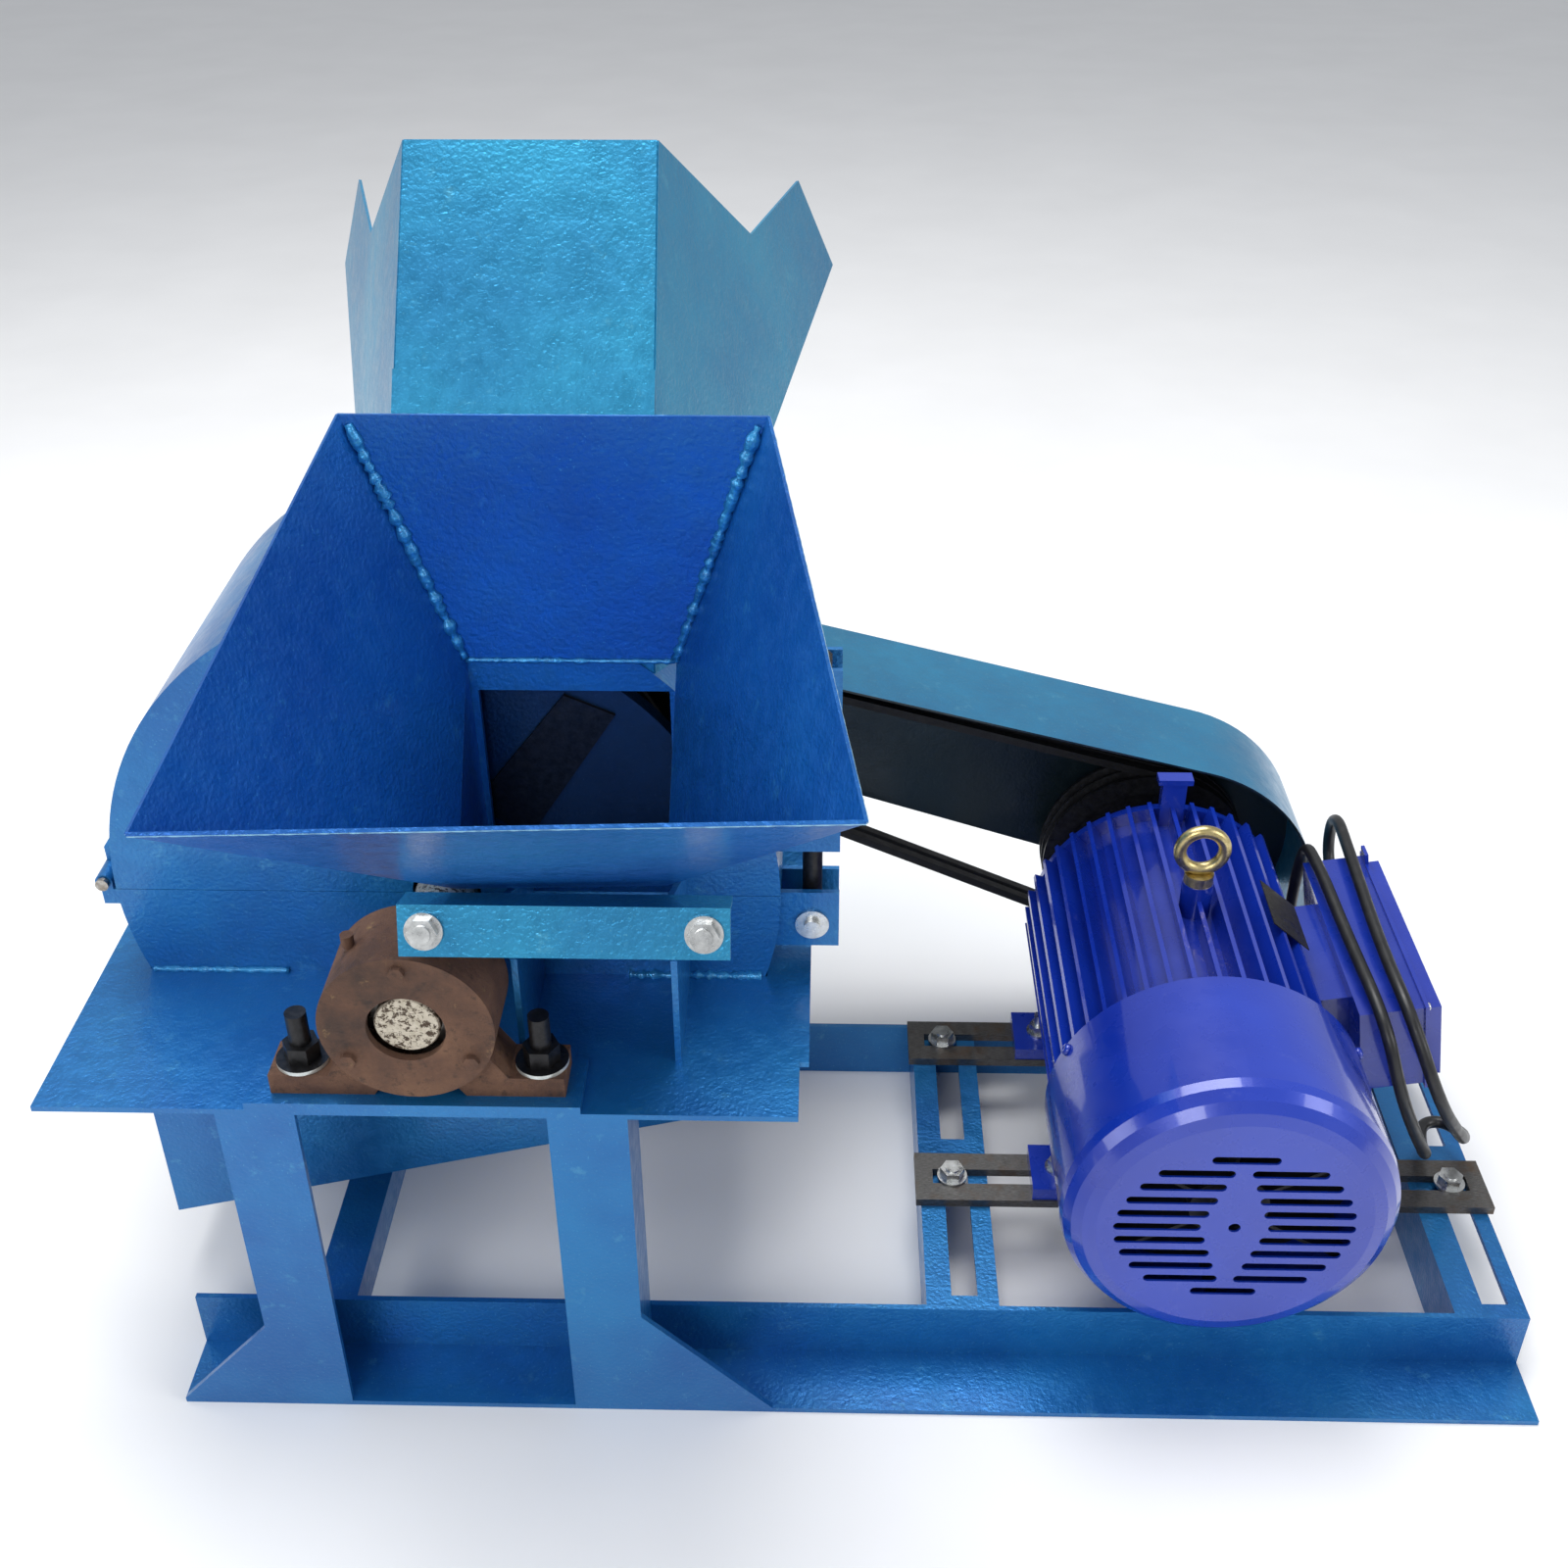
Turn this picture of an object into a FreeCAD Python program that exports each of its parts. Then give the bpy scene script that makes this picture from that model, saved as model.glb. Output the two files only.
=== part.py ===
import FreeCAD, Part
import math
import os
import Sketcher
from FreeCAD import Placement, Rotation, Vector

# A wood-crushing hammer mill on an angle-iron frame, driven by a foot-mounted motor through V-belts.
# Lengths are millimetres and +Z is up. The driving sizes are written from the rotor's axis (x = 0),
# the front rail's front face (y = 0) and the floor (z = 0). The origin cells move the finished
# pieces so that the origin lies on the floor, under the middle of the whole machine.

doc = FreeCAD.newDocument("hammer_mill")
sheet = doc.addObject("Spreadsheet::Sheet", "sizes")

SIZES = {
    "origin_x": 381.0, "origin_y": 236.6,
    # frame of rolled angle
    "angle_width": 75.0, "angle_wall": 6.0,
    "rail_left": -294.0, "rail_right": 1119.0, "frame_depth": 458.0,
    "leg_left": -192.0, "leg_right": 193.0,
    "gusset_left_reach": 102.0, "gusset_left_rise": 112.0,
    "gusset_right_reach": 131.0, "gusset_right_rise": 137.0,
    "brace_left": -168.0, "brace_width": 47.0,
    "deck_top": 419.0, "deck_wall": 6.0, "deck_left": -363.0, "deck_right": 360.0,
    "deck_front_right": 351.0,
    "sole_left": -163.0, "sole_right": 150.0, "sole_wall": 8.0,
    # drum
    "shaft_height": 520.0, "drum_radius": 330.0, "drum_front": 129.0, "drum_rear": 450.0,
    "cheek_wall": 8.0, "wrap_wall": 6.0, "split_gap": 0.5, "deck_slot": 316.0,
    "screen_radius": 300.0, "screen_wall": 5.0, "screen_hole": 12.0,
    "chute_right": 334.0,
    "chute_left": -350.0,
    # cover hinge and latches
    "hinge_x": -341.0, "hinge_z": 528.0, "hinge_radius": 8.5, "hinge_pin": 4.0,
    "latch_x": 361.0, "latch_pin_z": 474.0, "latch_y": 169.5,
    "latch_gap": 34.6, "latch_plate": 6.0, "latch_edge": 388.0, "latch_bolt": 10.0,
    "latch_low_bottom": 446.0, "latch_low_top": 512.0,
    "latch_high_bottom": 562.0, "latch_high_top": 765.0, "latch_seat_z": 745.0, "latch_reach": 307.0,
    # rotor
    "shaft_radius": 30.0, "shaft_front": -71.0, "shaft_rear": 626.0,
    "chipper_radius": 285.0, "chipper_wall": 18.0, "chipper_y": 150.0,
    "disc_radius": 225.0, "disc_wall": 8.0, "disc_first": 192.0, "disc_pitch": 56.0,
    "pin_circle": 190.0, "pin_radius": 10.0, "hammer_reach": 95.0, "hammer_width": 46.0,
    "hammer_wall": 8.0,
    # bearings
    "bearing_front": -37.0, "bearing_rear": 498.0, "bearing_body": 64.0, "bearing_radius": 80.0,
    "bearing_cover": 8.0, "bearing_bolt_x": 112.0,
    # drive
    "motor_x": 780.0, "bar_wall": 10.0,
    "pulley_front": 580.0, "pulley_width": 44.0, "mill_pulley": 66.0, "motor_pulley": 128.5,
    "guard_front": 497.0, "guard_rear": 644.0, "guard_round": 194.0, "guard_mill_round": 118.0,
    "guard_wall": 2.5,
    "sheet_metal": 3.0, "feed_x": 141.5, "feed_top_half": 181.1, "feed_top_z": 1018.7,
    "feed_lip_y": -269.3, "feed_lip_z": 872.4, "feed_lean": 0.033,
    "throat_half": 97.0, "throat_top_z": 784.7, "throat_low_half": 93.7,
    "throat_low_y": -20.0, "throat_low_z": 640.0, "throat_end_z": 560.0, "feed_back_y": 127.5,
    "fork_left": 84.0, "fork_right": 232.0, "fork_wall": 6.0, "bar_left": 5.0, "bar_right": 292.5,
    "bin_x": 97.0, "bin_wall": 3.0, "stud": 10.0, "foot_low": 427.0, "foot_top": 449.0,
    "motor_z": 245.0, "frame_radius": 134.0, "fin_radius": 160.0, "frame_front": 150.0,
    "frame_rear": 480.0,
    "motor_shaft": 21.0, "motor_foot": 140.0, "box_x": 948.0, "box_z": 290.0, "box_front": 178.0,
    "box_rear": 455.0, "cable": 7.0, "running_gap": 0.05,
}


class Size:
    """A number together with the sheet formula that gives it."""

    def __init__(self, number, formula):
        self.number = float(number)
        self.formula = formula

    def __add__(self, other):
        other = size(other)
        return Size(self.number + other.number, f"({self.formula} + {other.formula})")

    def __sub__(self, other):
        other = size(other)
        return Size(self.number - other.number, f"({self.formula} - {other.formula})")

    def __mul__(self, factor):
        return Size(self.number * factor, f"({self.formula} * {factor:.6g})")

    def __neg__(self):
        return Size(-self.number, f"(0 - {self.formula})")

    __radd__ = __add__
    __rmul__ = __mul__


def size(value):
    """Wrap a plain number, so that it can stand wherever a sheet size can."""
    if isinstance(value, Size):
        return value
    return Size(value, f"({value:.6g})")


class Sheet:
    """The driving sizes by name."""


at = Sheet()
for row, (name, number) in enumerate(SIZES.items(), start=1):
    sheet.set(f"A{row}", name)
    sheet.set(f"B{row}", f"{number:g}")
    sheet.setAlias(f"B{row}", name)
    setattr(at, name, Size(number, f"sizes.{name}"))
doc.recompute()

AXES = {"x": Rotation(Vector(0, 1, 0), 90), "y": Rotation(Vector(1, 0, 0), -90), "z": Rotation()}
places = {}
nodes = []


def put(thing, base, rotation=Rotation()):
    """Place an object, with its base point bound to the sheet."""
    places[thing.Name] = [size(value) for value in base]
    thing.Placement = Placement(Vector(*[value.number for value in places[thing.Name]]), rotation)
    for letter, value in zip("xyz", places[thing.Name]):
        thing.setExpression(f"Placement.Base.{letter}", value.formula)
    return thing


def bind(thing, name, value):
    value = size(value)
    setattr(thing, name, value.number)
    thing.setExpression(name, value.formula)


def box(low, high):
    thing = doc.addObject("Part::Box", "box")
    for name, start, end in zip(("Length", "Width", "Height"), low, high):
        bind(thing, name, size(end) - start)
    return put(thing, low)


def rod(axis, start, length, radius):
    """A round bar from the point start, along an axis."""
    thing = doc.addObject("Part::Cylinder", "rod")
    bind(thing, "Radius", radius)
    bind(thing, "Height", length)
    return put(thing, start, AXES[axis])


def join(*things):
    thing = doc.addObject("Part::MultiFuse", "join")
    thing.Shapes = list(things)
    return thing


def group(*things):
    """Separate solids that share one node."""
    thing = doc.addObject("Part::Compound", "group")
    thing.Links = list(things)
    return thing


def cut(base, *tools):
    thing = doc.addObject("Part::Cut", "cut")
    thing.Base = base
    thing.Tool = tools[0] if len(tools) == 1 else join(*tools)
    return thing


def tube(axis, start, length, outer, inner):
    """A ring or pipe: a round bar with a round hole right through."""
    return cut(rod(axis, start, length, outer), rod(axis, start, length, inner))


def free_shape(shape):
    thing = doc.addObject("Part::Feature", "panel")
    thing.Shape = shape
    return thing


def node(label, thing):
    """Name a finished piece and move it into the machine's own frame."""
    thing.Label = label
    base = places.get(thing.Name, [size(0), size(0), size(0)])
    put(thing, (base[0] - at.origin_x, base[1] - at.origin_y, base[2]), thing.Placement.Rotation)
    nodes.append(thing)
    return thing


def sketch_in(body, role, offset):
    """A sketch on one of the body's own origin planes, moved along that plane's normal."""
    sketch = body.newObject("Sketcher::SketchObject", "outline")
    plane = [item for item in body.Origin.OriginFeatures if item.Role == role][0]
    sketch.AttachmentSupport = [(plane, "")]
    sketch.MapMode = "FlatFace"
    sketch.setExpression("AttachmentOffset.Base.z", size(offset).formula)
    return sketch


def outline(sketch, points):
    """A closed outline of straight lines whose corners are bound to the sheet."""
    corners = [(size(u), size(v)) for u, v in points]
    count = len(corners)
    for index, (u, v) in enumerate(corners):
        after_u, after_v = corners[(index + 1) % count]
        line = Part.LineSegment(Vector(u.number, v.number, 0), Vector(after_u.number, after_v.number, 0))
        sketch.addGeometry(line, False)
    for index in range(count):
        sketch.addConstraint(Sketcher.Constraint("Coincident", index, 2, (index + 1) % count, 1))
    for index, (u, v) in enumerate(corners):
        for kind, value in (("DistanceX", u), ("DistanceY", v)):
            place = sketch.addConstraint(Sketcher.Constraint(kind, -1, 1, index, 1, value.number))
            sketch.setExpression(f"Constraints[{place}]", value.formula)


def plate(plane, points, start, thickness):
    """A flat outline padded to a thickness. plane is the pair of axes it is drawn in."""
    body = doc.addObject("PartDesign::Body", "plate")
    role = {"xy": "XY_Plane", "xz": "XZ_Plane", "yz": "YZ_Plane"}[plane]
    start = size(start)
    sketch = sketch_in(body, role, -start if plane == "xz" else start)
    outline(sketch, points)
    pad = body.newObject("PartDesign::Pad", "pad")
    pad.Profile = sketch
    pad.Reversed = plane == "xz"
    bind(pad, "Length", thickness)
    return body


def turned(points, x, z):
    """A piece turned on a lathe along Y: its outline gives places along Y and radii."""
    body = doc.addObject("PartDesign::Body", "turned")
    sketch = sketch_in(body, "YZ_Plane", 0)
    outline(sketch, points)
    turn = body.newObject("PartDesign::Revolution", "turn")
    turn.Profile = sketch
    turn.ReferenceAxis = (sketch, ["H_Axis"])
    turn.Angle = 360
    return put(body, (x, 0, z))






wall = at.angle_wall
leg = at.angle_width
rear = at.frame_depth
back_edge = at.frame_depth + at.angle_width
front_face = -leg
rear_face = back_edge - wall
axle = at.shaft_height

# ---- base frame -------------------------------------------------------------------------------
FRONT_RAIL = [(-leg, 0), (wall, 0), (wall, leg), (0, leg), (0, wall), (-leg, wall)]
REAR_RAIL = [(rear - wall, 0), (back_edge, 0), (back_edge, wall), (rear, wall), (rear, leg),
             (rear - wall, leg)]
web_gap = rear - wall * 2
rail_length = at.rail_right - at.rail_left
node("front_rail", plate("yz", FRONT_RAIL, at.rail_left, rail_length))
node("rear_rail", plate("yz", REAR_RAIL, at.rail_left, rail_length))

brace_right = at.brace_left + at.brace_width
BRACE = [(at.brace_left, leg), (brace_right, leg), (brace_right, 28), (brace_right - 5, 28),
         (brace_right - 5, leg - 5), (at.brace_left, leg - 5)]
node("base_cross_member", plate("xz", BRACE, wall, web_gap))

bar_top = leg + at.bar_wall
slot_rows = (at.frame_depth * 0.402, at.frame_depth * 0.912)


def crossbar(left, upright_left, slot_centre):
    """An angle across the base, with two long slots for the motor bars' clamp bolts."""
    right = left + 77
    edge = left if upright_left else right - wall
    flange = box((left, wall, leg - wall), (right, rear - wall, leg))
    upright = box((edge, wall, 0), (edge + wall, rear - wall, leg))
    slots = []
    for start, end in ((19, 204), (254, 440)):
        slots.append(box((slot_centre - 14, start, leg - 30), (slot_centre + 14, end, leg + 5)))
    return cut(join(flange, upright), *slots)


crossbar_left = crossbar(at.motor_x - 294, True, at.motor_x - 253)
node("motor_crossbars", group(crossbar_left, crossbar(at.rail_right - 77, True, at.rail_right - 31)))

leg_top = at.deck_top - at.deck_wall


def corner_leg(x, deep, face, start):
    """A standing angle: a flange across the machine, and one along it at deep, from start."""
    across = box((x, face, wall), (x + leg, face + wall, leg_top))
    return join(across, box((deep, start, wall), (deep + wall, start + leg, leg_top)))


for label, face, start in (("front_legs", front_face, front_face), ("rear_legs", rear_face, rear)):
    node(label, group(corner_leg(at.leg_left, at.leg_left, face, start),
                      corner_leg(at.leg_right - leg, at.leg_right - wall, face, start)))

LEFT_GUSSET = [(at.leg_left - at.gusset_left_reach, wall), (at.leg_left, wall),
               (at.leg_left, wall + at.gusset_left_rise)]
RIGHT_GUSSET = [(at.leg_right, wall), (at.leg_right + at.gusset_right_reach, wall),
                (at.leg_right, wall + at.gusset_right_rise)]
gussets = [plate("xz", shape, face, wall) for face in (front_face, rear_face)
           for shape in (LEFT_GUSSET, RIGHT_GUSSET)]
node("leg_gussets", group(*gussets))

deck_low = at.deck_top - at.deck_wall


def stud_holes(low, high, radius, centre):
    return [rod("z", (sign * at.bearing_bolt_x, centre, low), high - low, radius) for sign in (-1, 1)]


deck_front = box((at.deck_left, front_face, deck_low), (at.deck_front_right, 0, at.deck_top))
deck_front = cut(deck_front, *stud_holes(deck_low - 5, at.deck_top + 5, 11, at.bearing_front))
deck_rear = box((at.deck_left, rear, deck_low), (at.deck_front_right, back_edge, at.deck_top))
deck_rear = cut(deck_rear, *stud_holes(deck_low - 5, at.deck_top + 5, 11, at.bearing_rear))
node("deck_plates", group(deck_front, deck_rear))
node("deck_middle_plates", group(
    box((at.deck_left, 0, deck_low), (-at.deck_slot, rear, at.deck_top)),
    box((-at.deck_slot, 0, deck_low), (at.deck_slot, at.drum_front, at.deck_top)),
    box((at.deck_slot, 0, deck_low), (at.deck_right, rear, at.deck_top))))

sole_top = at.deck_top + at.sole_wall
soles = []
for low, high, centre in ((front_face, front_face + 67, at.bearing_front),
                          (back_edge - 67, back_edge, at.bearing_rear)):
    sole = box((at.sole_left, low, at.deck_top), (at.sole_right, high, sole_top))
    soles.append(cut(sole, *stud_holes(at.deck_top - 5, sole_top + 5, 11, centre)))
node("bearing_sole_plates", group(*soles))

# ---- drum, screen and discharge chute -----------------------------------------------------------
drum = at.drum_radius
cheek = at.cheek_wall
front_cheek = at.drum_front
rear_cheek = at.drum_rear - cheek
drum_inside = front_cheek + cheek
drum_width = rear_cheek - drum_inside
split_low = axle - at.split_gap * 0.5
split_high = axle + at.split_gap * 0.5
wrap_inner = drum - at.wrap_wall
SHAFT_HOLE = 34
FAR = 900

KNUCKLES = [start + step for start in (129, 370) for step in (0, 53.3)]
COVER_KNUCKLES = [start + 27 for start in (129, 370)]
knuckle_bore = at.hinge_pin + at.running_gap


def drum_shell():
    """Both cheeks and the wrap, as one full drum with its shaft hole."""
    cheeks = [rod("y", (0, start, axle), cheek, drum) for start in (front_cheek, rear_cheek)]
    shell = join(tube("y", (0, drum_inside, axle), drum_width, drum, wrap_inner), *cheeks)
    return cut(shell, rod("y", (0, front_cheek - 5, axle), at.drum_rear - front_cheek + 10, SHAFT_HOLE))


def knuckle(y, length, low, high, reach):
    """A hinge barrel with the web that welds it to the drum."""
    barrel = rod("y", (at.hinge_x, y, at.hinge_z), length, at.hinge_radius)
    web = box((at.hinge_x - 4, y, low), (at.hinge_x + 8, y + length, high))
    return join(barrel, web, box((at.hinge_x - 4, y, reach[0]), (at.hinge_x + 15, y + length, reach[1])))


def pin_bores():
    return [rod("y", (at.hinge_x, start - 1, at.hinge_z), 84, knuckle_bore) for start in (129, 370)]


guides = []
for start in (drum_inside, rear_cheek - 10):
    guides.append(tube("y", (0, start, axle), 10, 313, at.screen_radius + at.screen_wall + 0.4))
above = box((-FAR, -FAR, split_low), (FAR, FAR, split_low + FAR))
mouth = box((-FAR, drum_inside, 0), (FAR, rear_cheek, deck_low))
guide_trim = box((-FAR, 0, axle - 40), (FAR, FAR, axle + FAR))
low_knuckles = [knuckle(y, 26.4, 502, 526, (502, 519.5)) for y in KNUCKLES]
low_drum = cut(drum_shell(), above, mouth)
low_shell = join(low_drum, cut(join(*guides), guide_trim), *low_knuckles)
node("lower_housing", cut(low_shell, *pin_bores()))

screen_outside = at.screen_radius + at.screen_wall
screen_ring = tube("y", (0, drum_inside, axle), drum_width, screen_outside, at.screen_radius)
screen_holes = []
for column in range(-5, 6):
    angle = math.radians(column * 12)
    for place in range(9):
        y = drum_inside + 24 + place * 32
        start = (math.sin(angle) * 280, y, axle - math.cos(angle) * 280)
        hole = rod("z", start, 40, at.screen_hole)
        turn = Rotation(Vector(0, 1, 0), 180 - math.degrees(angle))
        screen_holes.append(put(hole, start, turn))
screen_trim = box((-FAR, 0, axle - 80), (FAR, FAR, axle + FAR))
node("screen", cut(screen_ring, screen_trim, *screen_holes))

chute_low = 74
chute_floor = [(at.chute_left, chute_low), (at.chute_right, 251)]
CHUTE = chute_floor + [(at.chute_right, deck_low), (at.chute_left, deck_low)]
FLOOR = [(at.chute_left, chute_low), (at.chute_right, 251), (at.chute_right, 255),
         (at.chute_left, chute_low + 4)]
chute_front = plate("xz", CHUTE, front_cheek - 4, 4)
chute_rear = plate("xz", CHUTE, at.drum_rear, 4)
chute_deck = plate("xz", FLOOR, front_cheek, at.drum_rear - front_cheek)
chute_end = box((at.chute_right - 4, front_cheek, 252), (at.chute_right, at.drum_rear, deck_low))
node("discharge_chute", join(chute_front, chute_rear, chute_deck, chute_end))

hinge_pins = []
for start in (129, 370):
    pin = rod("y", (at.hinge_x, start - 3, at.hinge_z), 86, at.hinge_pin)
    head = rod("y", (at.hinge_x, start - 6, at.hinge_z), 5, 6.5)
    hinge_pins.append(join(pin, head))
node("hinge_pins", group(*hinge_pins))

# ---- latch ------------------------------------------------------------------------------------
half_gap = at.latch_gap * 0.5
pin_bore = 8 + at.running_gap


def clevis(points):
    """A pair of plates either side of the swing bolt."""
    front_plate = plate("xz", points, at.latch_y - half_gap - at.latch_plate, at.latch_plate)
    rear_plate = plate("xz", points, at.latch_y + half_gap, at.latch_plate)
    return group(front_plate, rear_plate)


def hexagon(axis, start, length, flats):
    """A hexagon nut or head. flats is its size across flats."""
    thing = doc.addObject("Part::Prism", "hexagon")
    thing.Polygon = 6
    bind(thing, "Circumradius", flats / math.sqrt(3))
    bind(thing, "Height", length)
    return put(thing, start, AXES[axis])


low = at.latch_low_bottom
high = at.latch_low_top
LOW_CLEVIS = [(300, low), (at.latch_edge, low), (at.latch_edge, high), (300, high)]
low = at.latch_high_bottom
high = at.latch_high_top
HIGH_CLEVIS = [(300, low), (at.latch_edge, low), (at.latch_edge, high), (345, high), (302, 640)]
drum_trim = rod("y", (0, 100, axle), 380, drum)
pivot = rod("y", (at.latch_x, at.latch_y - 40, at.latch_pin_z), 80, pin_bore)
node("latch_lower_clevises", cut(clevis(LOW_CLEVIS), drum_trim, pivot))
pin = rod("y", (at.latch_x, at.latch_y - 32, at.latch_pin_z), 62, 8)
pin_washer = rod("y", (at.latch_x, at.latch_y - half_gap - at.latch_plate - 3, at.latch_pin_z), 3, 17)
node("latch_pins", join(pin, pin_washer))
eye = rod("y", (at.latch_x, at.latch_y - 9, at.latch_pin_z), 18, 17)
shank = rod("z", (at.latch_x, at.latch_y, at.latch_pin_z), at.latch_reach, at.latch_bolt)
eye_bore = rod("y", (at.latch_x, at.latch_y - 12, at.latch_pin_z), 24, pin_bore)
bolt = cut(join(eye, shank), eye_bore)
washer_low = at.latch_seat_z + 6.35
washer = tube("z", (at.latch_x, at.latch_y, washer_low), 3, 16.5, at.latch_bolt + 0.3)
nut = cut(hexagon("z", (at.latch_x, at.latch_y, washer_low + 3.15), 16, 30),
          rod("z", (at.latch_x, at.latch_y, washer_low - 1), 24, at.latch_bolt + 0.1))
node("swing_bolt_front", group(bolt, washer, nut))

# ---- hinged cover -----------------------------------------------------------------------------
below = box((-FAR, -FAR, split_high - FAR), (FAR, FAR, split_high))
feed_hole = box((at.feed_x - 88, front_cheek - 5, 562), (at.feed_x + 88, drum_inside + 5, 752))
bin_hole = box((-20, drum_inside + 4, 700), (215, rear_cheek - 12, FAR))
high_drum = cut(drum_shell(), below, feed_hole, bin_hole)
high_knuckles = [knuckle(y, 26, 530, 552, (534, 552)) for y in COVER_KNUCKLES]
node("upper_housing", cut(join(high_drum, *high_knuckles), *pin_bores()))
seat_block = box((340, at.latch_y - half_gap, at.latch_seat_z),
                 (380, at.latch_y + half_gap, at.latch_seat_z + 6))
seat_slot = box((349, at.latch_y - 11.5, at.latch_seat_z - 2),
                (384, at.latch_y + 11.5, at.latch_seat_z + 8))
seat = cut(seat_block, seat_slot)
node("latch_upper_clevises", join(cut(clevis(HIGH_CLEVIS), drum_trim), seat))


def corner(x, y, z):
    return Vector(float(x), float(y), float(z))


def sheet_panel(points, thickness):
    """A flat polygon of sheet, thickened equally to both sides."""
    face = Part.Face(Part.makePolygon(points + points[:1]))
    normal = face.normalAt(0, 0)
    face.translate(normal * (-thickness / 2))
    return face.extrude(normal * thickness)


gauge = at.sheet_metal.number
feed_x = at.feed_x.number
feed_back = at.feed_back_y.number
lip_y = at.feed_lip_y.number
fold_y = at.throat_low_y.number
lean = at.feed_lean.number


def feed_corner(half, y, middle_z):
    """A corner of the lower sheets, which lean a little to the left."""
    return corner(feed_x + half, y, middle_z + lean * half)


top_left = corner(feed_x - at.feed_top_half.number, feed_back, at.feed_top_z.number)
top_right = corner(feed_x + at.feed_top_half.number, feed_back, at.feed_top_z.number)
gate_left = corner(feed_x - at.throat_half.number, feed_back, at.throat_top_z.number)
gate_right = corner(feed_x + at.throat_half.number, feed_back, at.throat_top_z.number)
low_half = at.throat_low_half.number
fold_left = feed_corner(-low_half, fold_y, at.throat_low_z.number)
fold_right = feed_corner(low_half, fold_y, at.throat_low_z.number)
end_left = feed_corner(-low_half, feed_back, at.throat_end_z.number)
end_right = feed_corner(low_half, feed_back, at.throat_end_z.number)


def lip_corner(top, gate, fold):
    """Where the side sheet's plane, the bottom sheet's plane and the lip's upright plane meet."""
    normal = (gate - top).cross(fold - top)
    start = feed_corner(0, lip_y, at.feed_lip_z.number)
    along = Vector(1, 0, lean)
    return start + along * (normal.dot(top - start) / normal.dot(along))


lip_left = lip_corner(top_left, gate_left, fold_left)
lip_right = lip_corner(top_right, gate_right, fold_right)
FEED = [
    [top_left, top_right, gate_right, gate_left],
    [top_left, lip_left, fold_left, gate_left],
    [top_right, lip_right, fold_right, gate_right],
    [fold_left, fold_right, lip_right, lip_left],
    [fold_left, fold_right, end_right, end_left],
    [fold_left, gate_left, end_left],
    [fold_right, gate_right, end_right],
]


def welded(panels, thickness, *trims):
    shape = sheet_panel(panels[0], thickness)
    shape = shape.multiFuse([sheet_panel(points, thickness) for points in panels[1:]])
    for trim in trims:
        shape = shape.cut(trim)
    return free_shape(shape.removeSplitter())


cheek_y = front_cheek.number
behind_cheek = Part.makeBox(2 * FAR, 400, 2 * FAR, corner(-FAR, cheek_y, 0))
node("front_hopper", welded(FEED, gauge, behind_cheek))

bin_x = at.bin_x.number
SIDE_START = 117.5
SIDE_FLARE = (0.31, -0.25)
BIN_SIDE = ((283, 1027.4), (546, 1048.5), (703, 1061.7), (743, 957.6), (421, 850), (133, 837))
PEAK_HALF = 116.3
PEAK = (400, 1176)


def bin_side(sign):
    """The flared side's corners: its half width grows rearward and shrinks upward."""
    start_y, start_z = BIN_SIDE[0]
    found = []
    for y, z in BIN_SIDE:
        half = SIDE_START + SIDE_FLARE[0] * (y - start_y) + SIDE_FLARE[1] * (z - start_z)
        found.append(corner(bin_x + sign * half, y, z))
    return found


left_side = bin_side(-1)
right_side = bin_side(1)
left_peak = corner(bin_x - PEAK_HALF, *PEAK)
right_peak = corner(bin_x + PEAK_HALF, *PEAK)
BIN = [
    [left_side[5], right_side[5], right_peak, left_peak],
    [left_side[0], left_side[1], left_peak],
    [right_side[0], right_side[1], right_peak],
    left_side,
    right_side,
    [left_side[3], right_side[3], right_side[4], left_side[4]],
]
solid_drum = Part.makeCylinder(drum.number, FAR, corner(0, 0, axle.number), Vector(0, 1, 0))
node("top_hopper", welded(BIN, at.bin_wall.number, solid_drum))

# the neck: a collar that stands on the drum, with a proud band up the hopper's front
neck_low = 600
collar = []
feet = [left_side[5], right_side[5], right_side[4], left_side[4]]
lowered = [corner(point.x, point.y, neck_low) for point in feet]
raised = [corner(point.x, point.y, point.z - at.bin_wall.number) for point in feet]
for index in range(4):
    after = (index + 1) % 4
    collar.append([lowered[index], lowered[after], raised[after], raised[index]])
neck_walls = welded(collar, at.bin_wall.number, solid_drum)
band_rise = Vector(0, -0.786, 0.618)
BAND_TOP = (266, 1006)
band_low = corner(bin_x, 133, 837) + band_rise * 3.1
band_high = corner(bin_x, *BAND_TOP) + band_rise * 3.1
band_half = corner(119, 0, 0)
BAND = [band_low - band_half, band_low + band_half, band_high + band_half, band_high - band_half]
band = sheet_panel(BAND, at.bin_wall.number).cut(solid_drum)
node("top_neck", group(neck_walls, free_shape(band)))

# ---- throat bar and its fork --------------------------------------------------------------------
BAR = [(-81.07, 606.82), (-65, 651), (-29.28, 638.0), (-31.33, 632.36), (-61.41, 643.31),
       (-75.43, 604.77)]
FORK = [(0, at.deck_top), (front_cheek, at.deck_top), (front_cheek, 549), (0, 616), (-31.2, 632.3),
        (-61.3, 643.2), (-73.0, 611.3), (0, 540)]
fork_plates = [plate("yz", FORK, x, at.fork_wall) for x in (at.fork_left, at.fork_right)]
tie = box((at.fork_left + at.fork_wall, 109, 520), (at.fork_right, front_cheek, 538))
node("throat_supports", join(*fork_plates, tie))
AXES["tilt"] = Rotation(Vector(1, 0, 0), 70)
BAR_BOLTS = (at.bar_left + 23, at.bar_right - 22.5)
BAR_FACE = (-73.0, 629.0)
tilt_y = -0.940
tilt_z = 0.342


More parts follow.
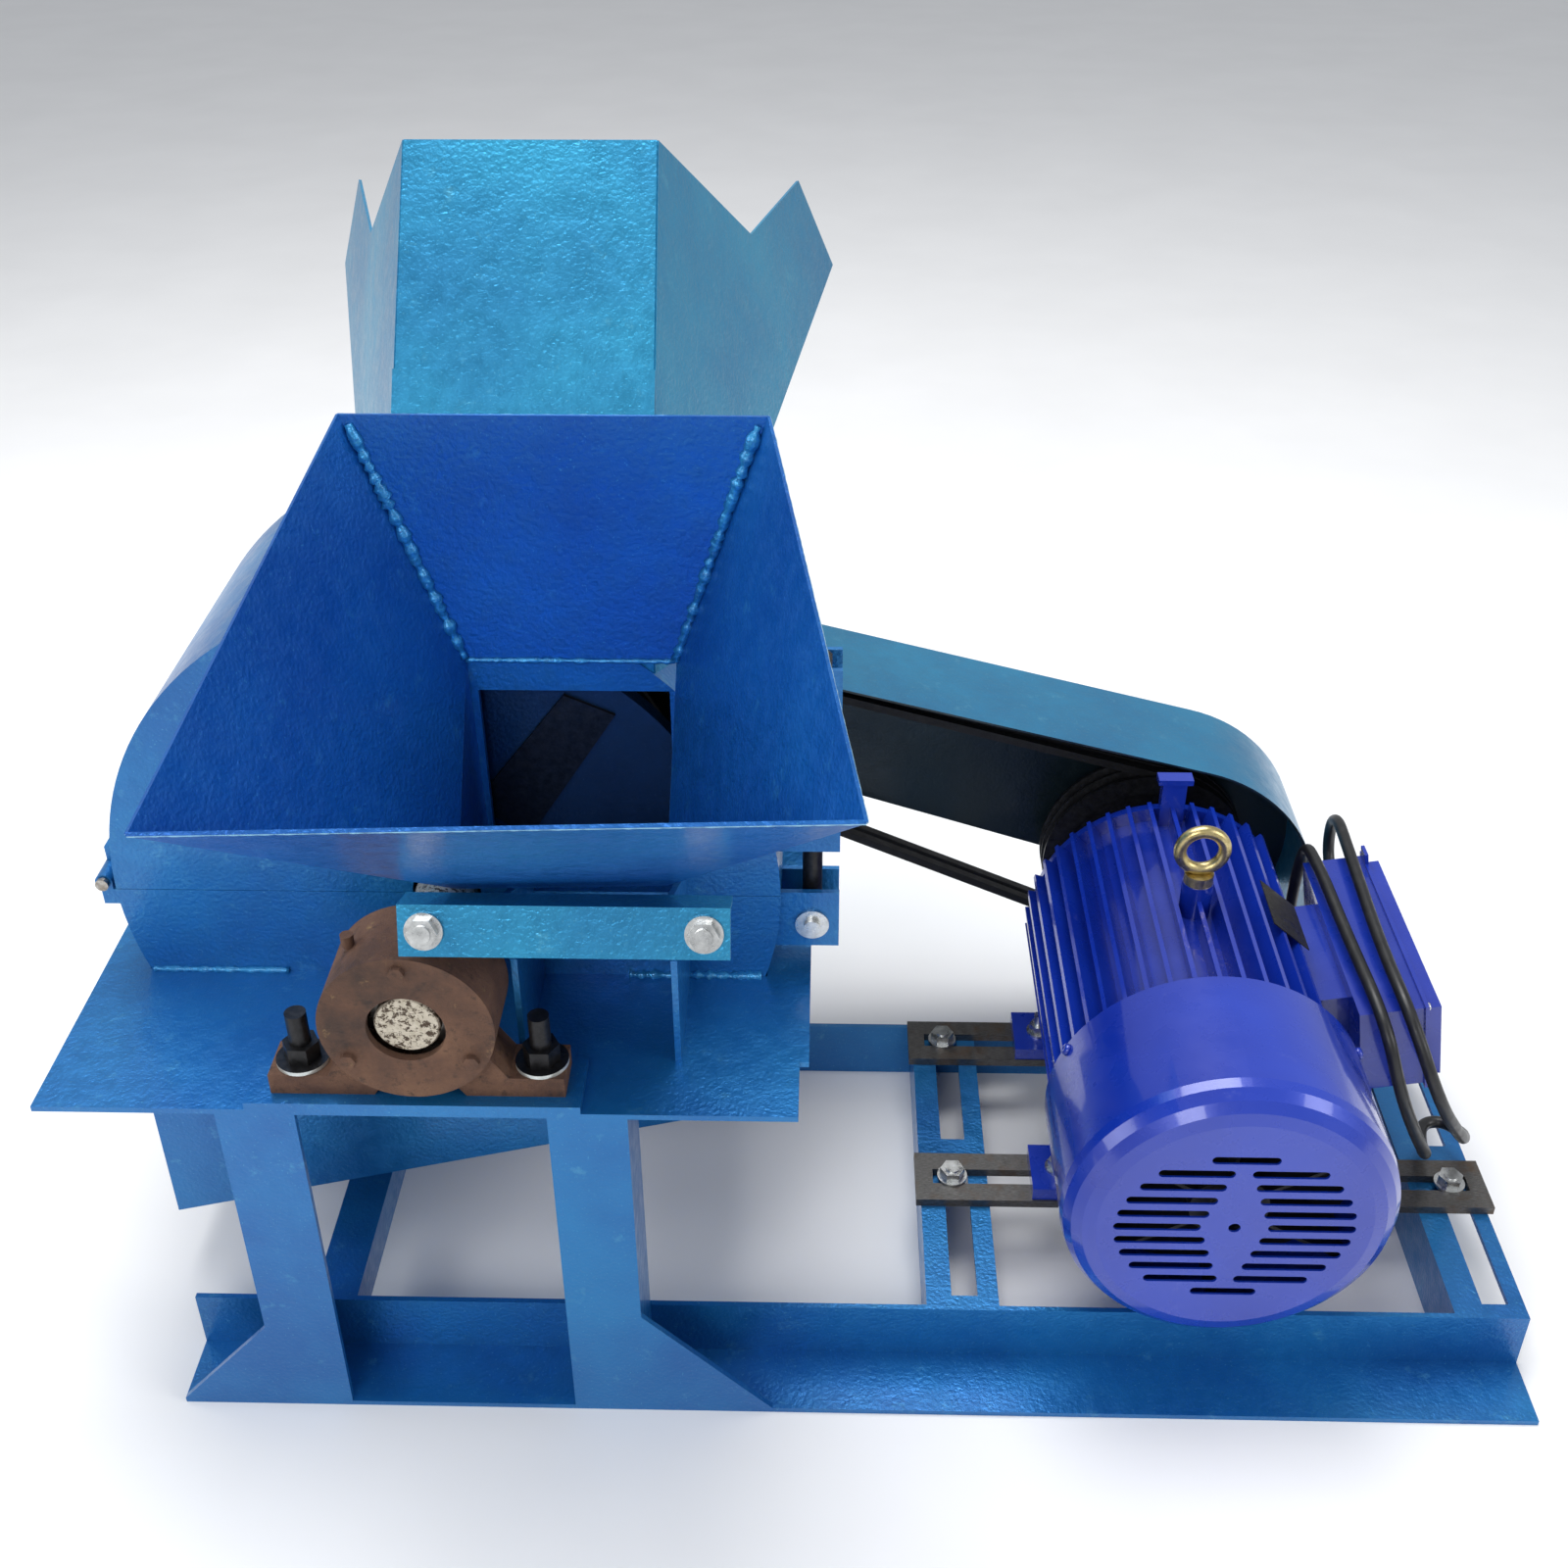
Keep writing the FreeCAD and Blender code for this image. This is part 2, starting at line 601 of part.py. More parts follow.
def bar_bolt(x, depth, length, radius):
    """A round bar square to the tilted face. depth is how far in front of the face it starts."""
    return rod("tilt", (x, BAR_FACE[0] + depth * tilt_y, BAR_FACE[1] + depth * tilt_z), length, radius)


throat_angle = plate("yz", BAR, at.bar_left, at.bar_right - at.bar_left)
bolt_holes = [bar_bolt(x, -12, 20, 8.5) for x in BAR_BOLTS]
node("throat_bar", cut(throat_angle, *bolt_holes))
bolts = []
for x in BAR_BOLTS:
    washer = cut(bar_bolt(x, 0.1, 3, 17), bar_bolt(x, -5, 12, 8.2))
    start = (x, BAR_FACE[0] + 3.2 * tilt_y, BAR_FACE[1] + 3.2 * tilt_z)
    head = join(hexagon("tilt", start, 8, 24), bar_bolt(x, -20, 34, 8))
    back = (x, BAR_FACE[0] - 16.2 * tilt_y, BAR_FACE[1] - 16.2 * tilt_z)
    back_nut = cut(hexagon("tilt", back, 10, 24), bar_bolt(x, -22, 30, 8.1))
    bolts += [washer, head, back_nut]
node("throat_bar_bolts", group(*bolts))
node("bed_knife", box((at.feed_x - 86, drum_inside, 540), (at.feed_x + 86, drum_inside + 6, 561)))

# ---- bearings ---------------------------------------------------------------------------------
body_half = at.bearing_body * 0.5
BORE = 56
RING_INSIDE = 41
BOLT_CIRCLE = 66
COVER_ANGLES = (90, 212, 328)
PEDESTAL = [(-140, at.foot_low), (-43, at.foot_low), (-36, 437), (36, 437), (43, at.foot_low),
            (135, at.foot_low), (135, at.foot_top), (84, at.foot_top), (66, 476), (-66, 476),
            (-84, at.foot_top), (-140, at.foot_top)]


def around(angle, radius):
    turn = math.radians(angle)
    return size(radius) * math.cos(turn), axle + size(radius) * math.sin(turn)


housings = []
covers = []
cover_bolts = []
rings = []
inner_rings = []
nipples = []
studs = []
for centre in (at.bearing_front, at.bearing_rear):
    low, high = centre - body_half, centre + body_half
    foot = plate("xz", PEDESTAL, centre - 24, 48)
    lump = join(rod("y", (0, low, axle), at.bearing_body, at.bearing_radius), foot)
    holes = [rod("y", (0, low - 1, axle), at.bearing_body + 2, BORE)]
    holes += stud_holes(at.foot_low - 5, at.foot_top + 5, 11, centre)
    for angle in COVER_ANGLES:
        x, z = around(angle, BOLT_CIRCLE)
        holes.append(rod("y", (x, low - 1, z), at.bearing_body + 2, 4.3))
    holes.append(rod("z", (-52, centre, axle + 20), 60, 4.2))
    housings.append(cut(lump, *holes))
    for start, outward in ((low - at.bearing_cover, -1), (high, 1)):
        disc = tube("y", (0, start, axle), at.bearing_cover, at.bearing_radius, 36)
        holes = []
        for angle in COVER_ANGLES:
            x, z = around(angle, BOLT_CIRCLE)
            holes.append(rod("y", (x, start - 1, z), at.bearing_cover + 2, 4.3))
            head_at = start - 5.5 if outward < 0 else start + at.bearing_cover
            shank_at = start if outward < 0 else start - 16
            head = hexagon("y", (x, head_at, z), 5.5, 13)
            cover_bolts.append(join(head, rod("y", (x, shank_at, z), 24, 4)))
        covers.append(cut(disc, *holes))
    rings.append(tube("y", (0, centre - 16, axle), 32, BORE, RING_INSIDE + at.running_gap))
    inner_rings.append(tube("y", (0, centre - 16, axle), 32, RING_INSIDE, at.shaft_radius))
    nipple = join(rod("z", (-52, centre, axle + 48), 26, 4), rod("z", (-52, centre, axle + 64), 12, 6))
    nipples.append(nipple)
    for sign in (-1, 1):
        x = sign * at.bearing_bolt_x
        stud = join(rod("z", (x, centre, 394), 111, at.stud), hexagon("z", (x, centre, 396), 13, 30))
        under = tube("z", (x, centre, 409.1), deck_low - 409.2, 25, at.stud + 0.3)
        over = tube("z", (x, centre, at.foot_top), 4, 25, at.stud + 0.3)
        nut = cut(hexagon("z", (x, centre, at.foot_top + 4), 18, 30),
                  rod("z", (x, centre, at.foot_top), 30, at.stud + 0.1))
        studs += [stud, under, over, nut]
node("bearing_housings", group(*housings, *nipples))
node("bearing_covers", group(*covers))
node("bearing_cover_bolts", group(*cover_bolts))
node("bearing_rings", group(*rings))
node("bearing_bolts", group(*studs))
node("bearing_inner_rings", group(*inner_rings))

# ---- rotor ------------------------------------------------------------------------------------
step_y = at.guard_rear - 84
NOSE = 25
SHAFT = [(at.shaft_front, 0), (at.shaft_front, at.shaft_radius - 1.5),
         (at.shaft_front + 1.5, at.shaft_radius), (step_y, at.shaft_radius), (step_y, NOSE),
         (at.shaft_rear, NOSE), (at.shaft_rear, 0)]
node("rotor_shaft", turned(SHAFT, 0, axle))
PIN_ANGLES = (45, 135, 225, 315)
disc_ys = [at.disc_first + at.disc_pitch * index for index in range(5)]
pin_start = at.disc_first - 8
pin_length = at.disc_pitch * 4 + at.disc_wall + 16
discs = []
for y in disc_ys:
    holes = [rod("y", (0, y - 1, axle), at.disc_wall + 2, at.shaft_radius)]
    for angle in PIN_ANGLES:
        x, z = around(angle, at.pin_circle)
        holes.append(rod("y", (x, y - 1, z), at.disc_wall + 2, at.pin_radius + 0.2))
    discs.append(cut(rod("y", (0, y, axle), at.disc_wall, at.disc_radius), *holes))
for index in range(4):
    gap_y = disc_ys[index] + at.disc_wall
    discs.append(tube("y", (0, gap_y, axle), at.disc_pitch - at.disc_wall, 45, at.shaft_radius))
node("rotor_discs", group(*discs))
chipper = tube("y", (0, at.chipper_y, axle), at.chipper_wall, at.chipper_radius, at.shaft_radius)
hub = tube("y", (0, at.chipper_y + at.chipper_wall, axle), 24, 55, at.shaft_radius)
node("chipper_disc", join(chipper, hub))


def blade(angle, half):
    """A knife on the chipper disc, its long side along a line beside the radius."""
    turn = math.radians(angle)
    along = (math.cos(turn), math.sin(turn))
    across = (-along[1], along[0])
    corners = ((95, -half), (262, -half + 14), (250, half), (95, half))
    points = [(r * along[0] + s * across[0], axle + r * along[1] + s * across[1]) for r, s in corners]
    return plate("xz", points, at.chipper_y - 4, 4)


node("chipper_knives", group(*[blade(angle, 32) for angle in (52, 172, 292)]))
pins = []
for angle in PIN_ANGLES:
    x, z = around(angle, at.pin_circle)
    pin = rod("y", (x, pin_start, z), pin_length, at.pin_radius)
    front_head = rod("y", (x, pin_start - 5, z), 5, 14)
    rear_head = rod("y", (x, pin_start + pin_length, z), 4, 14)
    pins.append(join(pin, front_head, rear_head))
node("hammer_pins", group(*pins))
half_width = at.hammer_width * 0.5
for label, angle, shift in zip(("a", "b", "c", "d"), PIN_ANGLES, (-14, 6, -14, 6)):
    x, z = around(angle, at.pin_circle)
    hammers = []
    for index in range(4):
        y = disc_ys[index] + at.disc_wall + 24 + shift
        bar = box((x - half_width, y, z - at.hammer_reach), (x + half_width, y + at.hammer_wall, z + 20))
        hammers.append(cut(bar, rod("y", (x, y - 1, z), at.hammer_wall + 2, at.pin_radius + at.running_gap)))
    node(f"hammers_row_{label}", group(*hammers))

# ---- pulleys, belts and guard --------------------------------------------------------------------
GROOVE_DEPTH = 14
GROOVE_TOP = 8.2
GROOVE_FLOOR = 5.3
GROOVES = (12.5, 31.5)


def sheave(bore, radius, x, z):
    """A pulley with two V grooves."""
    start = at.pulley_front
    end = start + at.pulley_width
    points = [(start, bore), (start, radius)]
    for place in GROOVES:
        middle = start + place
        floor = radius - GROOVE_DEPTH
        points += [(middle - GROOVE_TOP, radius), (middle - GROOVE_FLOOR, floor),
                   (middle + GROOVE_FLOOR, floor), (middle + GROOVE_TOP, radius)]
    points += [(end, radius), (end, bore)]
    return turned(points, x, z)


node("mill_pulley", sheave(NOSE, at.mill_pulley, 0, axle))
wheel = sheave(at.motor_shaft, at.motor_pulley, at.motor_x, at.motor_z)
recess_rows = (at.pulley_front - 1, at.pulley_front + 32)
recesses = [tube("y", (at.motor_x, y, at.motor_z), 13, 104, 42) for y in recess_rows]
motor_pulley = cut(wheel, *recesses)


def tangent_loop(small, large):
    """The outline of two round ends joined by straight tangents, as a wire in the XZ plane."""
    ends = (Vector(0, 0, axle.number), Vector(at.motor_x.number, 0, at.motor_z.number))
    gap = ends[1] - ends[0]
    along = Vector(gap).normalize()
    upward = Vector(-along.z, 0, along.x)
    lean = (small - large) / gap.Length
    rise = math.sqrt(1 - lean * lean)
    over = along * lean + upward * rise
    under = along * lean - upward * rise
    points = [ends[0] + over * small, ends[1] + over * large,
              ends[1] + under * large, ends[0] + under * small]
    far = Part.Arc(points[1], ends[1] + along * large, points[2])
    near = Part.Arc(points[3], ends[0] - along * small, points[0])
    edges = [Part.LineSegment(points[0], points[1]), far, Part.LineSegment(points[2], points[3]), near]
    return Part.Wire([edge.toShape() for edge in edges]), points


def loop_solid(small, large, y, width):
    wire, points = tangent_loop(small, large)
    wire.translate(Vector(0, y, 0))
    return Part.Face(wire).extrude(Vector(0, width, 0))


BELT_WIDTH = 11
BELT_DEPTH = 10
belts = []
for place in GROOVES:
    y = at.pulley_front.number + place - BELT_WIDTH / 2
    sunk = 1
    outside = loop_solid(at.mill_pulley.number - sunk, at.motor_pulley.number - sunk, y, BELT_WIDTH)
    deep = sunk + BELT_DEPTH
    inside = loop_solid(at.mill_pulley.number - deep, at.motor_pulley.number - deep, y, BELT_WIDTH)
    belts.append(free_shape(outside.cut(inside)))
node("v_belts", group(*belts))

ends = (Vector(0, 0, axle.number), Vector(at.motor_x.number, 0, at.motor_z.number))
guard_y = at.guard_front.number
guard_width = at.guard_rear.number - guard_y
thin = at.guard_wall.number
outside = loop_solid(at.guard_mill_round.number, at.guard_round.number, guard_y, guard_width)
inside = loop_solid(at.guard_mill_round.number - thin, at.guard_round.number - thin, guard_y, guard_width)
strip = outside.cut(inside)
BACK_LOW = [(-125, 530), (0, 437), (at.motor_x.number, 187), (962, 178.6), (1100, 178.6),
            (1100, -50), (-400, -50),
            (-400, 530)]
low_face = Part.Face(Part.makePolygon([Vector(x, 0, z) for x, z in BACK_LOW + BACK_LOW[:1]]))
low_face.translate(Vector(0, guard_y - 5, 0))
low_part = low_face.extrude(Vector(0, guard_width + 10, 0))
back = loop_solid(at.guard_mill_round.number, at.guard_round.number, guard_y + guard_width - thin, thin)
guard = strip.fuse(back).cut(low_part).removeSplitter()
arm_y = back_edge
back_y = at.guard_rear - at.guard_wall
bracket_arm = box((-60, arm_y, 411), (-20, back_y, 417))
bracket_left = join(bracket_arm, box((-60, back_y - 6, 411), (-20, back_y, 470)))
bracket_right = box((300, arm_y, 411), (340, back_y, 417))
node("belt_guard", join(free_shape(guard), bracket_left, bracket_right))

# ---- motor bed ----------------------------------------------------------------------------------
SLOT_HALF = 11
bar_left = at.motor_x - 300
bar_right = at.motor_x + 345
bar_bars = []
for y, half in zip(slot_rows, (36.5, 35)):
    bar = box((bar_left, y - half, leg), (bar_right, y + half, bar_top))
    slots = []
    for start, end in ((-280, -80), (100, 325)):
        slots.append(box((at.motor_x + start, y - SLOT_HALF, leg - 5),
                         (at.motor_x + end, y + SLOT_HALF, bar_top + 5)))
    bar_bars.append(cut(bar, *slots))
node("motor_slide_bars", group(*bar_bars))
clamps = []
for x in (at.motor_x - 258, at.motor_x + 304):
    for y in slot_rows:
        bolt = join(rod("z", (x, y, 55), 44.5, 8), hexagon("z", (x, y, 56), 9, 24))
        under = tube("z", (x, y, 65.5), 3.4, 17, 8.2)
        over = tube("z", (x, y, bar_top), 3, 17, 8.2)
        nut = cut(hexagon("z", (x, y, bar_top + 3), 10, 24), rod("z", (x, y, bar_top), 15, 8.1))
        clamps += [bolt, under, over, nut]
node("slide_bar_bolts", group(*clamps))

# ---- motor --------------------------------------------------------------------------------------
frame_length = at.frame_rear - at.frame_front
STATOR_BORE = 85
shaft_bore = at.motor_shaft + at.running_gap


def spoke(angle, y, length, low, high, width):
    """A block on the motor that stands out from its axis. angle is measured from straight up."""
    thing = doc.addObject("Part::Box", "spoke")
    bind(thing, "Length", width)
    bind(thing, "Width", length)
    bind(thing, "Height", size(high) - low)
    turn = math.radians(angle)
    side = size(width) * 0.5
    x = at.motor_x - side * math.cos(turn) + size(low) * math.sin(turn)
    z = at.motor_z + side * math.sin(turn) + size(low) * math.cos(turn)
    return put(thing, (x, y, z), Rotation(Vector(0, 1, 0), angle))


core = tube("y", (at.motor_x, at.frame_front, at.motor_z), frame_length, at.frame_radius, STATOR_BORE)
fins = []
for index in range(-15, 16):
    angle = index * 9
    if 50 < angle < 95:
        continue
    fins.append(spoke(angle, at.frame_front, frame_length, at.frame_radius - 3, at.fin_radius, 5))
feet = []
for sign in (-1, 1):
    near, far_side = sorted((sign * 98, sign * 170))
    web_near, web_far = sorted((sign * 98, sign * 112))
    for y, length in ((150, 70), (384, 70)):
        feet.append(box((at.motor_x + near, y, bar_top), (at.motor_x + far_side, y + length, bar_top + 16)))
        feet.append(box((at.motor_x + web_near, y, bar_top), (at.motor_x + web_far, y + length, 190)))
lug = box((at.motor_x - 14, 466, 372), (at.motor_x + 14, 480, 438))
lug_cap = box((at.motor_x - 20, 462, 438), (at.motor_x + 20, 480, 445))
boss = rod("z", (at.motor_x, 300, 372), 48, 17)
holes = [rod("z", (at.motor_x, 300, 392), 40, 8.2)]
holes += [rod("z", (at.motor_x + sign * at.motor_foot, y, 80), 30, 7) for sign in (-1, 1) for y in slot_rows]
node("motor_frame", cut(join(core, *fins, *feet, lug, lug_cap, boss), *holes))

REAR_SHIELD = [(480, shaft_bore), (480, 150), (490, 150), (500, 122), (520, 62), (528, 60), (528, shaft_bore)]
FRONT_SHIELD = [(150, shaft_bore), (150, 150), (142, 150), (132, 122), (114, 62), (110, 60),
                (110, shaft_bore)]
shields = [turned(points, at.motor_x, at.motor_z) for points in (REAR_SHIELD, FRONT_SHIELD)]
lugs = [spoke(angle, 133, 10, 120, 165, 18) for angle in (45, 135, -45, -135)]
node("motor_end_shields", group(shields[0], join(shields[1], *lugs)))

COWL = [(145, 168), (-6, 168), (-17, 166), (-28, 159), (-35.5, 149), (-39, 136), (-39, 0), (-36.5, 0),
        (-36.5, 135), (-33.2, 147.4), (-26.2, 157), (-16, 163.6), (-6, 165.5), (145, 165.5)]
cowl = turned(COWL, at.motor_x, at.motor_z)
ROW = 18.2
LONGEST = 119
SLOT_HALF = 4.8
GRILLE_FRONT = -45
GRILLE_DEPTH = 15


def grille_slot(start, end, z):
    """A round-ended slot through the cowl's face."""
    straight = box((at.motor_x + start + SLOT_HALF, GRILLE_FRONT, z - SLOT_HALF),
                   (at.motor_x + end - SLOT_HALF, GRILLE_FRONT + GRILLE_DEPTH, z + SLOT_HALF))
    ends = [rod("y", (at.motor_x + x, GRILLE_FRONT, z), GRILLE_DEPTH, SLOT_HALF)
            for x in (start + SLOT_HALF, end - SLOT_HALF)]
    return join(straight, *ends)


slots = [rod("y", (at.motor_x, GRILLE_FRONT, at.motor_z), GRILLE_DEPTH, 6)]
for index in range(-5, 6):
    z = at.motor_z + index * ROW
    reach = LONGEST - 2.3 * index * index
    middle = 33 - 6.2 * abs(index)
    if abs(index) == 5:
        slots.append(grille_slot(-33, 33, z))
    else:
        slots.append(grille_slot(-reach, -middle, z))
        slots.append(grille_slot(middle, reach, z))
node("fan_cover", cut(cowl, *slots))

tilt = Rotation(Vector(0, 1, 0), -10)
box_base = (at.box_x, 0, at.box_z)
shell = box((0, at.box_front, -60), (67, at.box_rear, 46))
hollow = box((5, at.box_front + 5, -55), (80, at.box_rear - 5, 41))
neck = box((-52, 232, -26), (3, 400, 26))
body = put(cut(join(shell, neck), hollow), box_base, tilt)
gland_x = at.box_x + 48
gland_z = at.box_z - 22
gland_hole = rod("y", (gland_x, at.box_rear - 8, gland_z), 16, 9)
frame_round = rod("y", (at.motor_x, 100, at.motor_z), 400, at.frame_radius)
node("terminal_box", cut(body, gland_hole, frame_round))
lid = box((67, at.box_front - 4, -64), (71, at.box_rear + 4, 50))
crown = box((71, at.box_front + 6, -54), (86, at.box_rear - 6, 40))
ear = box((67, at.box_rear - 22, 50), (71, at.box_rear - 2, 62))
node("terminal_box_lid", put(join(lid, crown, ear), box_base, tilt))
gland_neck = rod("y", (gland_x, at.box_rear - 12, gland_z), 12, 8.5)
gland = join(gland_neck, hexagon("y", (gland_x, at.box_rear, gland_z), 8, 24))
node("cable_gland", cut(gland, rod("y", (gland_x, at.box_rear - 14, gland_z), 24, 7)))
node("motor_nameplate", spoke(40, 270, 80, at.fin_radius, at.fin_radius + 1, 56))
ring = doc.addObject("Part::Torus", "ring")
ring.Radius1 = 24
ring.Radius2 = 7
put(ring, (at.motor_x, 300, 461), AXES["y"])
eye_foot = join(rod("z", (at.motor_x, 300, 420), 12, 16), rod("z", (at.motor_x, 300, 396), 26, 8))
node("motor_eyebolt", join(ring, eye_foot))
foot_bolts = []
for sign in (-1, 1):
    for y in slot_rows:
        x = at.motor_x + sign * at.motor_foot
        bolt = join(rod("z", (x, y, 60), 68, 6), hexagon("z", (x, y, 62), 8, 19))
        under = tube("z", (x, y, 71), 3.9, 16, 6.2)
        over = tube("z", (x, y, bar_top + 16), 3, 14, 6.2)
        nut = cut(hexagon("z", (x, y, bar_top + 19), 10, 19), rod("z", (x, y, bar_top + 10), 30, 6.1))
        foot_bolts += [bolt, under, over, nut]
node("motor_foot_bolts", group(*foot_bolts))

iron = rod("y", (at.motor_x, 200, at.motor_z), 230, STATOR_BORE - 1)
node("motor_rotor_shaft", join(rod("y", (at.motor_x, -24, at.motor_z), 662, at.motor_shaft), iron))
hub = tube("y", (at.motor_x, -12, at.motor_z), 72, 40, at.motor_shaft)
blades = [spoke(index * 60, -12, 66, 38, 148, 4) for index in range(6)]
plate_disc = tube("y", (at.motor_x, 54, at.motor_z), 6, 148, at.motor_shaft)
node("cooling_fan", join(hub, plate_disc, *blades))
node("motor_pulley", motor_pulley)

# ---- cable --------------------------------------------------------------------------------------
ROUTE = [
    (996, 463, 268), (997, 544, 270), (991, 538, 362), (984, 418, 366), (979, 262, 362),
    (984, 152, 356), (1020, 112, 268), (1072, 160, 180), (1094, 198, 142), (1108, 236, 114),
    (1092, 262, 108), (1066, 256, 107), (1056, 212, 110), (1048, 178, 134), (1016, 146, 195),
    (980, 128, 275), (957, 148, 352), (950, 290, 355), (945, 416, 362), (942, 481, 352),
    (943, 480, 250),
]
BEND_SHARE = 0.45


def cord_wire(route):
    """Straight runs joined by tangent arcs. It also gives each arc's radius."""
    points = [corner(*place) for place in route]
    edges = []
    radii = []
    start = points[0]
    for before, point, after in zip(points, points[1:], points[2:]):
        into = point - before
        out = after - point
        half_turn = into.getAngle(out) / 2
        trim = BEND_SHARE * min(into.Length, out.Length)
        radius = trim / math.tan(half_turn)
        first = point - Vector(into).normalize() * trim
        last = point + Vector(out).normalize() * trim
        inward = (Vector(out).normalize() - Vector(into).normalize()).normalize()
        middle = point + inward * (radius / math.cos(half_turn) - radius)
        edges.append(Part.LineSegment(start, first))
        edges.append(Part.Arc(first, middle, last))
        radii.append(radius)
        start = last
    edges.append(Part.LineSegment(start, points[-1]))
    return Part.Wire([edge.toShape() for edge in edges]), radii


cord, radii = cord_wire(ROUTE)
start = corner(*ROUTE[0])
circle = Part.Wire(Part.Circle(start, corner(*ROUTE[1]) - start, at.cable.number).toShape())
cable = cord.makePipeShell([circle], True, True)
node("power_cable", free_shape(cable))
print("cord length", round(cord.Length, 1), "volume share",
      round(cable.Volume / (math.pi * at.cable.number ** 2 * cord.Length), 5))
print("cord radii", [round(radius, 1) for radius in radii])

# ---- checks and export -----------------------------------------------------------------------------
doc.recompute()
for thing in doc.Objects:
    if "Invalid" in thing.State or "Error" in thing.State:
        raise RuntimeError(f"{thing.Label} did not compute: {thing.State}")
os.makedirs("parts", exist_ok=True)
for thing in nodes:
    if thing.Shape.isNull() or not thing.Shape.isValid():
        raise RuntimeError(f"{thing.Label} has no sound shape")
    thing.Shape.exportStep(f"parts/{thing.Label}.step")
print(len(nodes), "pieces written")
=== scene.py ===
import math
import random

import bmesh
import bpy
from mathutils import Matrix, Vector


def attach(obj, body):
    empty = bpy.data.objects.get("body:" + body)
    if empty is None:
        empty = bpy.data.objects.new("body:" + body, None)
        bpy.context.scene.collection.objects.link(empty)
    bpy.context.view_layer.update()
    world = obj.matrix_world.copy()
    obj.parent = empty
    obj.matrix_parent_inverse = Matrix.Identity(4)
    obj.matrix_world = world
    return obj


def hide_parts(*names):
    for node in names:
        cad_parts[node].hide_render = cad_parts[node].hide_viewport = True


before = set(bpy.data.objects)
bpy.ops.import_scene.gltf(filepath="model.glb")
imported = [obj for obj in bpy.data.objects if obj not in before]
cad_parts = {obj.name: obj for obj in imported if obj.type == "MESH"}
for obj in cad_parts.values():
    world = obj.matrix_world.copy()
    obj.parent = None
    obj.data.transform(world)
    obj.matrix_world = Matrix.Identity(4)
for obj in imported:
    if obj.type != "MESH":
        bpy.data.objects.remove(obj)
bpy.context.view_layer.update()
scene = bpy.context.scene
random.seed(7)
ORIGIN = Vector((0.381, 0.2366, 0.0))  # from the drawing's datum to the row frame


def at(x, y, z):
    """A point given in millimetres from the mill shaft's front datum, in the row frame."""
    return Vector((x, y, z)) / 1000 - ORIGIN


# ---- materials -----------------------------------------------------------------
class Nodes:
    """A short way to wire a material."""

    def __init__(self, name):
        self.material = bpy.data.materials.new(name)
        self.material.use_nodes = True
        self.tree = self.material.node_tree
        self.shader = self.tree.nodes["Principled BSDF"]
        self.place = self.add("ShaderNodeTexCoord").outputs["Object"]

    def add(self, kind, **inputs):
        node = self.tree.nodes.new(kind)
        for key, value in inputs.items():
            node.inputs[key.replace("_", " ")].default_value = value
        return node

    def link(self, source, target):
        self.tree.links.new(source, target)

    def noise(self, scale, detail=3.0, rough=0.55, stretch=None):
        node = self.add("ShaderNodeTexNoise", Scale=scale, Detail=detail, Roughness=rough)
        source = self.place
        if stretch:
            mapping = self.add("ShaderNodeMapping", Scale=stretch)
            self.link(source, mapping.inputs["Vector"])
            source = mapping.outputs["Vector"]
        self.link(source, node.inputs["Vector"])
        return node.outputs["Fac"]

    def ramp(self, source, *stops):
        node = self.add("ShaderNodeValToRGB")
        elements = node.color_ramp.elements
        while len(elements) < len(stops):
            elements.new(0.5)
        for element, (place, color) in zip(elements, stops):
            element.position = place
            element.color = (*color, 1) if len(color) == 3 else color
        self.link(source, node.inputs["Fac"])
        return node.outputs["Color"]

    def grey(self, source, *stops):
        return self.ramp(source, *[(place, (value,) * 3) for place, value in stops])

    def mix(self, factor, a, b, blend="MIX"):
        node = self.add("ShaderNodeMix")
        node.data_type = "RGBA"
        node.blend_type = blend
        for source, target in ((factor, node.inputs[0]), (a, node.inputs[6]), (b, node.inputs[7])):
            if hasattr(source, "links"):
                self.link(source, target)
            else:
                target.default_value = source if isinstance(source, (int, float)) else (*source, 1)
        return node.outputs[2]

    def bump(self, *layers):
        """layers are (height, strength, distance)."""
        before = None
        for height, strength, distance in layers:
            node = self.add("ShaderNodeBump", Strength=strength, Distance=distance)
            self.link(height, node.inputs["Height"])
            if before:
                self.link(before, node.inputs["Normal"])
            before = node.outputs["Normal"]
        self.link(before, self.shader.inputs["Normal"])

    def finish(self, color, rough, metallic=0.0, coat=0.0, coat_rough=0.1):
        for value, name in ((color, "Base Color"), (rough, "Roughness")):
            if hasattr(value, "links"):
                self.link(value, self.shader.inputs[name])
            else:
                self.shader.inputs[name].default_value = value
        self.shader.inputs["Metallic"].default_value = metallic
        self.shader.inputs["Coat Weight"].default_value = coat
        self.shader.inputs["Coat Roughness"].default_value = coat_rough
        return self.material


